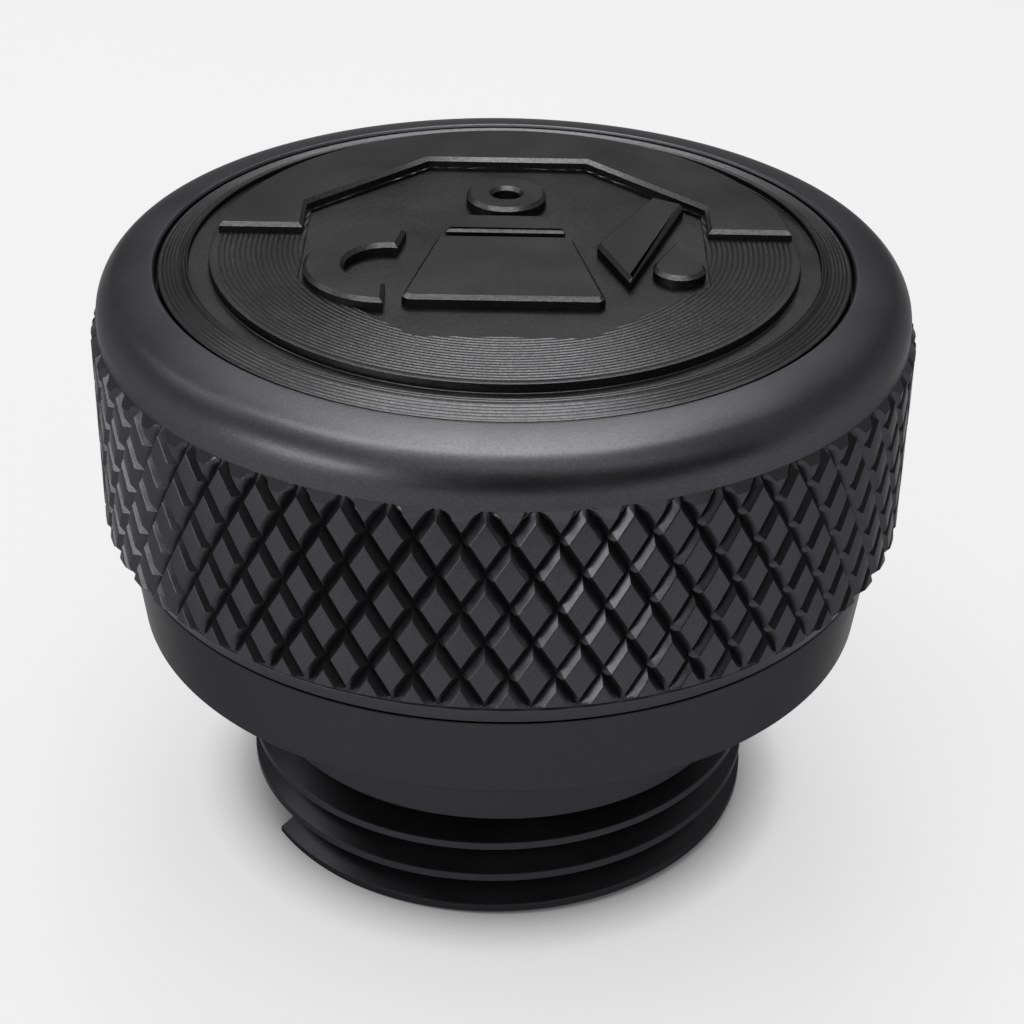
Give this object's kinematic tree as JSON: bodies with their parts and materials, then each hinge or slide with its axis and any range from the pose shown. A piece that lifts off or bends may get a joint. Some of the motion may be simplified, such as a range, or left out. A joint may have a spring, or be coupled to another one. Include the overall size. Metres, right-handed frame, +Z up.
{
  "type": "oil filler cap",
  "caption": "Screw-in engine oil filler cap with a diamond-knurled grip ring, a turned top disc with a raised oil can, a plain skirt, an O-ring and a coarse thread.",
  "frame": {"origin": "centre of the thread's end, on the cap's axis, at its lowest point", "axes": "+Z up the axis from the thread to the top disc; -Y is the front, towards which the relief's foot points"},
  "size_m": [0.064, 0.064, 0.0496],
  "materials": {
    "anodised_turned": "black anodised over fine turning",
    "anodised_satin": "black anodised over bead blasting",
    "anodised_face": "black anodised over turning lines and milled relief",
    "nitrile": "matt black nitrile rubber",
    "black_zinc": "steel, black zinc plated"
  },
  "bodies": {
    "root": {"body": "anodised_turned", "grip_ring": "anodised_satin", "top_disc": "anodised_face", "seal_ring": "nitrile", "clamp_screw_1": "black_zinc", "clamp_screw_2": "black_zinc", "clamp_screw_3": "black_zinc", "clamp_screw_4": "black_zinc"}
  },
  "joints": []
}
